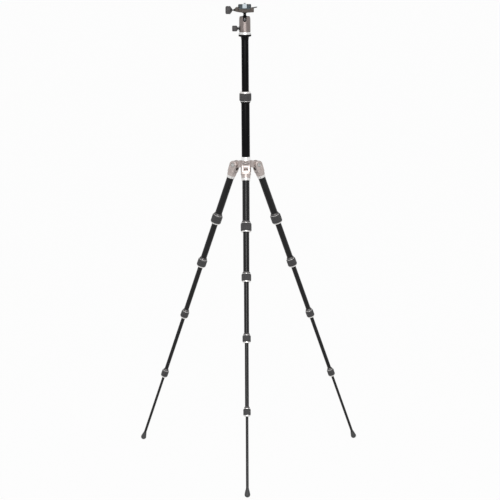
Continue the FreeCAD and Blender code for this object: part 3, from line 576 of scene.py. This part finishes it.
def leg_tube(side, number, place):
    """A tube with its collar and collet, and the bush on its hidden top end."""
    first, has_lock = number == 0, number < len(LOCKS)
    outer = TUBE_RADII[number]
    inner = outer - TUBE_WALL
    top = -TUBE_TOP if first else -(LOCKS[number - 1] - TUBE_OVERLAP)
    end = -(LOCKS[number] + THREAD_END) if has_lock else -(FOOT_TOP + FOOT_SOCKET)
    body = f"{side}_leg" if first else f"{side}_tube_{number + 1}"
    node = f"{side}_leg_tube_{number + 1}"
    wall = [(inner, end), (outer, end), (outer, top), (inner, top)]
    tube = lathe(node + "_wall", wall, "leg_black", body, place, 0.25)
    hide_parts(node)
    if not first:
        bore = TUBE_RADII[number - 1] - TUBE_WALL - RUN
        low = top - BUSH_LENGTH
        bush = [(outer, low), (bore, low), (bore, top), (outer, top)]
        lathe(node + "_bush", bush, "black_plastic", body, place, 0.3)
    if has_lock:
        guest, high = TUBE_RADII[number + 1] + RUN, end + COLLET_LENGTH
        collet = [(guest, end), (inner, end), (inner, high), (guest, high)]
        lathe(node + "_collet", collet, "black_plastic", body, place, 0.2)
        low = -LOCKS[number] + LOCK_LENGTHS[number] / 2 + GAP
        threaded_collar(node + "_collar", body, place, outer, low, "lock_grey")


def foot(side, place):
    """A rubber foot: a neck, a grip groove, a flare and an end that is a quarter circle."""
    bore, top = TUBE_RADII[-1], -FOOT_TOP
    round_end = [
        (FOOT_RADIUS * math.cos(a), -LEG_LENGTH - FOOT_RADIUS * math.sin(a))
        for a in np.linspace(0.06, np.pi / 2, 20)
    ]
    outline = [
        (bore, top - FOOT_SOCKET),
        (bore, top),
        (bore + 1.0, top),
        (bore + 1.1, top - 2.4),
        (bore + 0.7, top - 2.7),
        (bore + 0.8, top - 3.6),
        (bore + 1.7, top - 4.0),
        (bore + 2.9, top - 9.0),
        (FOOT_RADIUS * 0.93, -LEG_LENGTH + 3.4),
        (FOOT_RADIUS - 0.1, -LEG_LENGTH + 0.8),
        *round_end[:-1],
        (0.0, -LEG_LENGTH - FOOT_RADIUS),
        (0.0, top - FOOT_SOCKET),
    ]
    name, body = f"{side}_foot_rubber", f"{side}_tube_5"
    piece = lathe(name, outline, "foot_rubber", body, place, 0.3)
    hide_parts(f"{side}_foot")


def legs():
    """Three legs, each with five tubes, four locks and a foot."""
    for side in SIDES:
        place = leg_place(side)
        for number in range(len(TUBE_RADII)):
            leg_tube(side, number, place)
        for number, down in enumerate(LOCKS):
            twist_lock(
                f"{side}_lock_{number + 1}",
                f"{side}_leg_lock_{number + 1}",
                f"{side}_lock_{number + 1}",
                place @ at(z=-down),
                TUBE_RADII[number],
                TUBE_RADII[number + 1],
                LOCK_WALLS[number],
                LOCK_LENGTHS[number],
                LOCK_RING,
            )
        foot(side, place)


# ---------------------------------------------------------------- column

def lower_column():
    """The tube that slides in the hub, with its collet, its bottom cap, its collar and its lock."""
    inner, guest = LOWER_RADIUS - LOWER_WALL, UPPER_RADIUS + RUN
    low, high = HUB_TOP - LOWER_TAIL, COLUMN_LOCK_Z + THREAD_END
    body = "lower_column"
    wall = [(inner, low), (LOWER_RADIUS, low), (LOWER_RADIUS, high), (inner, high)]
    tube = lathe(
        "lower_column_wall", wall, "column_black", body, soft=0.25, around=128,
    )
    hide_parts("lower_column")
    start = high - COLLET_LENGTH
    collet = [(guest, start), (inner, start), (inner, high), (guest, high)]
    lathe("lower_column_collet", collet, "black_plastic", body, soft=0.2)
    cap = [
        (3.0, low - 3),
        (LOWER_RADIUS - 1, low - 3),
        (LOWER_RADIUS, low - 2),
        (LOWER_RADIUS, low),
        (inner, low),
        (inner, low + 9),
        (3.0, low + 9),
    ]
    lathe("lower_column_cap", cap, "black_plastic", body, soft=0.5)
    upside_down = turn("X", 180)
    over = at(z=COLUMN_LOCK_Z - COLUMN_LOCK_LENGTH / 2 - GAP) @ upside_down
    threaded_collar("lower_column_collar", body, over, LOWER_RADIUS, 0, "column_black")
    twist_lock(
        "column_lock",
        "column_twist_lock",
        "column_twist_lock",
        at(z=COLUMN_LOCK_Z) @ upside_down,
        LOWER_RADIUS,
        UPPER_RADIUS,
        COLUMN_LOCK_WALL,
        COLUMN_LOCK_LENGTH,
        COLUMN_LOCK_RING,
    )


def hub_ring():
    """The bright bush ring on the hub that the column slides through."""
    inside, outside = LOWER_RADIUS + RUN, LOWER_RADIUS + RING_WALL
    top = HUB_TOP + RING_HEIGHT
    ring = [
        (inside, HUB_TOP),
        (outside + 0.6, HUB_TOP),
        (outside, HUB_TOP + 2.5),
        (outside, top - 0.8),
        (outside - 0.8, top),
        (inside, top),
    ]
    piece = lathe("hub_ring", ring, "bright_silver", "hub", soft=0.5)
    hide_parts("hub_top_ring")


def upper_column():
    """The inner column, its guide bush, and the flange that carries the head on a stud. From its
    neck the flange widens with t ^ 2.1 while it rises with t ^ 0.8, for t from 0 to 1."""
    body = "upper_column"
    bottom, shelf = COLUMN_LOCK_Z - UPPER_OVERLAP, FLANGE_TOP - FLANGE_EDGE
    tube_top = shelf - 8
    inner = UPPER_RADIUS - UPPER_WALL
    wall = [(inner, bottom), (UPPER_RADIUS, bottom), (UPPER_RADIUS, tube_top), (inner, tube_top)]
    tube = lathe(
        "upper_column_wall", wall, "column_black", body, soft=0.25, around=128,
    )
    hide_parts("upper_column")
    bore, high = LOWER_RADIUS - LOWER_WALL - RUN, bottom + BUSH_LENGTH
    bush = [(UPPER_RADIUS, bottom), (bore, bottom), (bore, high), (UPPER_RADIUS, high)]
    lathe("upper_column_bush", bush, "black_plastic", body, soft=0.3)
    neck, cone = UPPER_RADIUS + 0.9, FLANGE_TOP - FLANGE_CONE
    sweep = [
        (neck + (FLANGE_RADIUS - neck) * t ** 2.1, cone + (FLANGE_CONE - FLANGE_EDGE) * t ** 0.8)
        for t in np.linspace(0, 1, 9)
    ]
    flange = [
        (0, tube_top - 14),
        (inner, tube_top - 14),
        (inner, tube_top),
        (UPPER_RADIUS, tube_top),
        (UPPER_RADIUS, FLANGE_TOP - 17.5),
        (UPPER_RADIUS + 0.5, FLANGE_TOP - 17.5),
        *sweep,
        (FLANGE_RADIUS, shelf + 1.2),
        (FLANGE_RADIUS, FLANGE_TOP - 0.6),
        (FLANGE_RADIUS - 0.6, FLANGE_TOP),
        (STUD_RADIUS, FLANGE_TOP),
        (STUD_RADIUS, FLANGE_TOP + STUD_HEIGHT),
        (0, FLANGE_TOP + STUD_HEIGHT),
    ]
    lathe("head_flange", flange, "column_black", body, soft=0.2, around=128)


# ---------------------------------------------------------------- head

def pan():
    """The bright ring that the head turns on, with the spigot inside the housing."""
    rim, spigot_top = FLANGE_TOP + PAN_RIM, PAN_TOP + SPIGOT_HEIGHT
    stud_space = FLANGE_TOP + STUD_HEIGHT + 0.2
    ring = [
        (STUD_RADIUS, FLANGE_TOP),
        (PAN_RADIUS, FLANGE_TOP),
        (PAN_RADIUS, rim),
        (PAN_RADIUS - PAN_TAPER, PAN_TOP),
        (SPIGOT_RADIUS, PAN_TOP),
        (SPIGOT_RADIUS, spigot_top),
        (0, spigot_top),
        (0, stud_space),
        (STUD_RADIUS, stud_space),
    ]
    piece = lathe(
        "pan_ring", ring, "bright_silver", "upper_column", soft=0.4, around=160,
    )
    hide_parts("pan_base")


def ball():
    """The ball, whose profile is a half circle, and the neck that stands on it. The underside of
    the neck follows the ball's curve. For t from 0 to 1 up each part, its foot is 0.3 (1 - t) ^ 2.5
    mm wider than its middle, and its top widens with t ^ 2.2 to the flange under the clamp."""
    profile = [
        (BALL_RADIUS * math.sin(a), BALL_Z + BALL_RADIUS * math.cos(a))
        for a in np.linspace(0, np.pi, 49)
    ]
    profile[0], profile[-1] = (0.0, BALL_Z + BALL_RADIUS), (0.0, BALL_Z - BALL_RADIUS)
    piece = lathe("ball_polished", profile, "black_polished", "ball", soft=0)
    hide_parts("ball")
    seat, foot_radius = BALL_RADIUS + 0.03, 5.1
    dish = [
        (r, BALL_Z + math.sqrt(seat ** 2 - r ** 2)) for r in np.linspace(0, foot_radius, 6)
    ]
    foot_z, steps = dish[-1][1], np.linspace(0, 1, 8)
    flare = [(STEM_RADIUS + 0.3 * (1 - t) ** 2.5, foot_z + 0.3 + 4.2 * t) for t in steps]
    widening = STEM_FLANGE - STEM_RADIUS
    swell = [(STEM_RADIUS + widening * t ** 2.2, CLAMP_Z - 4.4 + 2.6 * t) for t in steps]
    stem = [
        *dish,
        *flare,
        *swell,
        (STEM_FLANGE, CLAMP_Z - 0.05),
        (PIN_RADIUS, CLAMP_Z - 0.05),
        (PIN_RADIUS, CLAMP_Z + PIN_HEIGHT),
        (0, CLAMP_Z + PIN_HEIGHT),
    ]
    piece = lathe("ball_neck", stem, "column_black", "ball_stem", soft=0)
    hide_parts("ball_stem")


def pan_scale():
    """Scale marks on the pan ring, every 5 degrees and longer every 30, as thin plates. The eight
    corners of each lie 0.3 mm inside and 0.06 mm proud of the ring's slightly tapered wall, and are
    turned about Z to their mark."""
    step, every = 5, 6
    marks = np.arange(360 // step)
    longer = marks[:, None] % every == 0
    upper, outer, right = (np.array([k >> bit & 1 for k in range(8)]) for bit in (2, 1, 0))
    z = FLANGE_TOP + 2.0 + upper * np.where(longer, 4.6, 2.6)
    rise = (z - FLANGE_TOP - PAN_RIM) / (PAN_HEIGHT - PAN_RIM)
    x = PAN_RADIUS - PAN_TAPER * rise + np.where(outer, 0.06, -0.3)
    y = (2 * right - 1) * np.where(longer, 0.32, 0.2)
    angle = np.radians(step * marks)[:, None]
    points = np.stack(
        [x * np.cos(angle) - y * np.sin(angle), x * np.sin(angle) + y * np.cos(angle), z], axis=-1,
    )
    plate = np.array(
        [(0, 1, 3, 2), (4, 6, 7, 5), (0, 4, 5, 1), (2, 3, 7, 6), (0, 2, 6, 4), (1, 5, 7, 3)]
    )
    faces = (plate + 8 * marks[:, None, None]).reshape(-1, 4).tolist()
    points = points.reshape(-1, 3)
    mesh("pan_marks", points, faces, "scale_mark", "upper_column")


# ---------------------------------------------------------------- knobs and bolts

def knob(node, place, radius, inner, outer, neck, shaft, tip, collar=None):
    """A knob along its own +Z: a black screw that starts at tip, a fluted rubber barrel from inner
    to outer with a neck towards the tripod, a quarter circle round its far edge and a dished end,
    and a metal inlay there. A collar round the screw is given by its two radii and its two ends."""
    soft = 0.36 * radius
    screw = [(0, tip), (shaft, tip), (shaft, inner + 1), (0, inner + 1)]
    lathe(node + "_screw", screw, "black_steel", node, place, 0.2, 48)
    low, high = inner + soft + 2, outer - soft
    corner = [
        (radius - soft * (1 - math.cos(a)), high + soft * math.sin(a))
        for a in np.linspace(0, np.pi / 2, 8)
    ]
    barrel = [
        (0, inner + 0.6),
        (shaft, inner + 0.6),
        (shaft, inner),
        (neck - 0.6, inner),
        (neck, inner + 0.6),
        (radius - 0.9, low - 1.2),
        (radius - 0.2, low - 0.4),
        *[(radius, z) for z in np.linspace(low, high, 14)[:-1]],
        *corner,
        (radius * 0.6, outer),
        (radius * 0.57, outer - 0.7),
        (0, outer - 0.7),
    ]
    count = 2 * round(radius * 0.9)
    piece = lathe(
        node + "_barrel", barrel, "knob_rubber", node, place,
        soft=0, around=count * 10, angle=50,
        relief=beyond(neck + 0.5, flutes(count, 0.9, low - 1.5, outer - 0.4, 0.35)),
    )
    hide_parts(node)
    end, face = radius * 0.54, outer - 0.2
    inlay = [(0, outer - 0.7), (end, outer - 0.7), (end, outer - 0.5), (end - 0.4, face), (0, face)]
    lathe(node + "_inlay", inlay, "lock_grey", node, place, 0, 64)
    if collar:
        ring_in, ring_out, near, far = collar
        ring = [(ring_in, near), (ring_out, near), (ring_out, far), (ring_in, far)]
        lathe(node + "_collar", ring, "black_plastic", node, place, 0.4, 64)


def knobs():
    """The clamp's and the pan's knobs on the left, and the ball's and the column's at the back."""
    aside, back = turn("Y", -90), turn("X", -90)
    knob(
        "clamp_knob", at(z=CLAMP_SCREW_Z) @ aside, radius=13.6, inner=42.0, outer=64.0,
        neck=6.0, shaft=2.44, tip=10.0, collar=(2.44, 4.2, 34.1, 36.0),
    )
    knob(
        "pan_lock_knob", at(z=PAN_SCREW_Z) @ aside, radius=9.9, inner=22.6, outer=42.3,
        neck=4.6, shaft=2.94, tip=10.3, collar=(2.94, 6.6, 19.3, 21.1),
    )
    knob(
        "ball_lock_knob", at(z=BALL_SCREW_Z) @ back, radius=13.0, inner=24.0, outer=44.0,
        neck=7.0, shaft=3.94, tip=15.9, collar=(3.94, 7.5, 19.3, 21.5),
    )
    knob(
        "column_lock_knob", at(z=COLUMN_SCREW_Z) @ back, radius=11.0, inner=27.5, outer=43.0,
        neck=7.0, shaft=3.94, tip=14.3,
    )


def pivot_bolts():
    """A bolt with a hexagon socket, a nut and two washers at each leg's pivot, along its axis. The
    socket's wall is at the flat's distance divided by the cosine of the angle from the middle of
    the nearest flat."""
    def socket(theta, r, z):
        from_flat = np.mod(theta + np.pi / 6, np.pi / 3) - np.pi / 6
        in_socket = (z >= 12.6) & (r >= 3.3) & (r <= 3.5)
        return np.where(in_socket, SOCKET_FLAT / np.cos(from_flat) - r, 0.0)

    bolt = [
        (0, -15.3),
        (BOLT_RADIUS, -15.3),
        (BOLT_RADIUS, 12.5),
        (BOLT_HEAD - 0.2, 12.5),
        (BOLT_HEAD, 12.7),
        (BOLT_HEAD, 14.7),
        (5.8, BOLT_END),
        (3.9, BOLT_END),
        (3.4, 15.2),
        (3.4, 13.0),
        (0, 13.0),
    ]
    nut = [
        (BOLT_RADIUS, -BOLT_END),
        (5.8, -BOLT_END),
        (BOLT_HEAD, -14.7),
        (BOLT_HEAD, -12.5),
        (BOLT_RADIUS, -12.5),
    ]
    hole, rim = BOLT_RADIUS + RUN, 9.0
    for side in SIDES:
        place = turn("Z", SIDES[side]) @ at(PIVOT_RADIUS, 0, PIVOT_Z) @ turn("X", 90)
        piece = lathe(
            side + "_pivot_bolt", bolt, "steel", "hub", place, soft=0, relief=socket,
        )
        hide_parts("leg_pivot_hardware")
        lathe(side + "_pivot_nut", nut, "steel", "hub", place, 0)
        for end, low in (("a", -TONGUE_HALF - WASHER), ("b", TONGUE_HALF)):
            washer = [(hole, low), (rim, low), (rim, low + WASHER), (hole, low + WASHER)]
            name = f"{side}_pivot_washer_{end}"
            lathe(name, washer, "black_plastic", "hub", place, 0)


# ---------------------------------------------------------------- pieces kept from the CAD model

def give_finish(node, finish):
    """Gives a CAD node that stays its material, and smooths its round faces."""
    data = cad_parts[node].data
    data.materials.clear()
    data.materials.append(FINISHES[finish])
    data.polygons.foreach_set("use_smooth", np.ones(len(data.polygons), bool))
    data.set_sharp_from_angle(angle=math.radians(30))


def socket_ring(side):
    """Makes the casting's faces bright where they lie in the ring at the end of its tube socket."""
    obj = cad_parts[side + "_leg_casting"]
    obj.data.materials.append(FINISHES["lock_ring"])
    to_leg = leg_place(side).inverted()
    for face in obj.data.polygons:
        down = -(to_leg @ (obj.matrix_world @ face.center * 1000)).z
        face.material_index = int(down > SOCKET_END - SOCKET_RING + 0.01)


def kept_pieces():
    """The CAD nodes that stay as they are, each in its finish."""
    finishes = {
        "hub_spider": "silver_casting",
        "column_hook": "steel",
        "ball_housing": "titanium_housing",
        "ball_cup": "black_plastic",
        "clamp_body": "clamp_bronze",
        "bubble_level": "level_green",
        "clamp_jaw": "clamp_bronze",
        "safety_lever": "black_plastic",
        "quick_plate": "plate_slate",
        "plate_pad": "pad_rubber",
        "plate_stop_lug": "pale_plastic",
        "camera_screw": "threaded_steel",
    }
    for side in SIDES:
        finishes[side + "_leg_casting"] = "silver_casting"
        finishes[side + "_angle_tab"] = "silver_casting"
    for node, finish in finishes.items():
        give_finish(node, finish)
    for side in SIDES:
        socket_ring(side)


# ---------------------------------------------------------------- studio

WHITE = linear("#ffffff")
FILL_STRENGTH = 0.36        # light from all round
FLOOR_WHITE = 0.95          # the share of plain white in the floor, where it is seen directly
FLOOR_HALF = 70.0           # metres
KEY_SPOT, KEY_POWER, KEY_SPREAD = (0.0, -3.0, 2.85), 1.0, 22
BOX_SPOT, BOX_POWER, BOX_WIDTH, BOX_HEIGHT = (0.0, -6.3, 1.9), 140.0, 5.0, 1.8
LAMPS_AIM = (0, 0, 0.9)
CAMERA_SPOT = (0.046, -5.847, 1.833)
CAMERA_PITCH, CAMERA_YAW, CAMERA_ROLL = 10.65, -0.336, -0.425
SENSOR = 36.0
LENS = 3.49                 # focal length as a multiple of the sensor's width


def seen_directly(tree):
    """1 where the camera, a mirror or glass looks straight at the background, and 0 elsewhere."""
    rays = add(tree, "ShaderNodeLightPath").outputs
    seen = rays["Is Camera Ray"]
    for name in ("Is Glossy Ray", "Is Transmission Ray"):
        either = add(tree, "ShaderNodeMath", {0: seen, 1: rays[name]}, operation="MAXIMUM")
        seen = either.outputs["Value"]
    return seen


def white_world():
    """A soft fill from all round, which is plain white where it is seen directly."""
    world = bpy.data.worlds.new("studio_white")
    bpy.context.scene.world = world
    world.use_nodes = True
    tree = world.node_tree
    fill = tree.nodes["Background"]
    fill.inputs["Color"].default_value = WHITE
    fill.inputs["Strength"].default_value = FILL_STRENGTH
    white = add(tree, "ShaderNodeBackground", {"Strength": 1.0, "Color": WHITE})
    shades = {1: fill.outputs["Background"], 2: white.outputs["Background"]}
    mix = add(tree, "ShaderNodeMixShader", {"Fac": seen_directly(tree), **shades})
    tree.links.new(mix.outputs["Shader"], tree.nodes["World Output"].inputs["Surface"])


def white_floor():
    """A wide matt white floor, nearly plain white where it is seen directly, with soft shadows."""
    data = bpy.data.meshes.new("floor")
    half = FLOOR_HALF
    corners = [(-half, -half, 0), (half, -half, 0), (half, half, 0), (-half, half, 0)]
    data.from_pydata(corners, [], [(0, 1, 2, 3)])
    floor = bpy.data.objects.new("floor", data)
    bpy.context.scene.collection.objects.link(floor)
    paint = Finish("studio_floor", "#fafafa", 0.0, 0.9)
    paint.mottle(900.0, "#fbfbfb", "#fefefe")
    tree = paint.tree
    glow = add(tree, "ShaderNodeEmission", {"Color": WHITE, "Strength": 1.0})
    inputs = {0: seen_directly(tree), 1: FLOOR_WHITE}
    share = add(tree, "ShaderNodeMath", inputs, operation="MULTIPLY")
    shades = {1: paint.shader.outputs["BSDF"], 2: glow.outputs["Emission"]}
    mix = add(tree, "ShaderNodeMixShader", {"Fac": share.outputs["Value"], **shades})
    tree.links.new(mix.outputs["Shader"], tree.nodes["Material Output"].inputs["Surface"])
    data.materials.append(paint.material)


def lamp(light, spot):
    """Hangs a light at a spot and aims it at the middle of the tripod."""
    obj = bpy.data.objects.new(light.name, light)
    obj.location = spot
    aim = Vector(LAMPS_AIM) - Vector(spot)
    obj.rotation_euler = aim.to_track_quat("-Z", "Y").to_euler()
    bpy.context.scene.collection.objects.link(obj)


def lamps():
    """A soft high key in front, and a broad low box behind the camera."""
    key = bpy.data.lights.new("high_key", "SUN")
    key.energy, key.angle = KEY_POWER, math.radians(KEY_SPREAD)
    lamp(key, KEY_SPOT)
    box = bpy.data.lights.new("front_box", "AREA")
    box.shape = "RECTANGLE"
    box.size, box.size_y, box.energy = BOX_WIDTH, BOX_HEIGHT, BOX_POWER
    lamp(box, BOX_SPOT)


def camera():
    """A long lens a little higher than the head, looking about 11 degrees down. Pitch and yaw give
    the way it looks, and the roll turns its right and its up round that."""
    pitch, yaw, roll = (math.radians(v) for v in (CAMERA_PITCH, CAMERA_YAW, CAMERA_ROLL))
    level = math.cos(pitch)
    look = Vector((math.sin(yaw) * level, math.cos(yaw) * level, -math.sin(pitch)))
    right = look.cross(Vector((0, 0, 1))).normalized()
    up = right.cross(look)
    side = math.cos(roll) * right + math.sin(roll) * up
    over = math.cos(roll) * up - math.sin(roll) * right
    facing = Matrix((side, over, -look)).transposed().to_4x4()
    data = bpy.data.cameras.new("camera")
    data.sensor_width = SENSOR
    data.lens = LENS * SENSOR
    data.clip_end = 200.0
    obj = bpy.data.objects.new("camera", data)
    obj.matrix_world = Matrix.Translation(CAMERA_SPOT) @ facing
    bpy.context.scene.collection.objects.link(obj)
    bpy.context.scene.camera = obj


bpy.context.scene.view_settings.view_transform = "Standard"
kept_pieces()
legs()
lower_column()
hub_ring()
upper_column()
pan()
ball()
pan_scale()
knobs()
pivot_bolts()
white_world()
white_floor()
lamps()
camera()
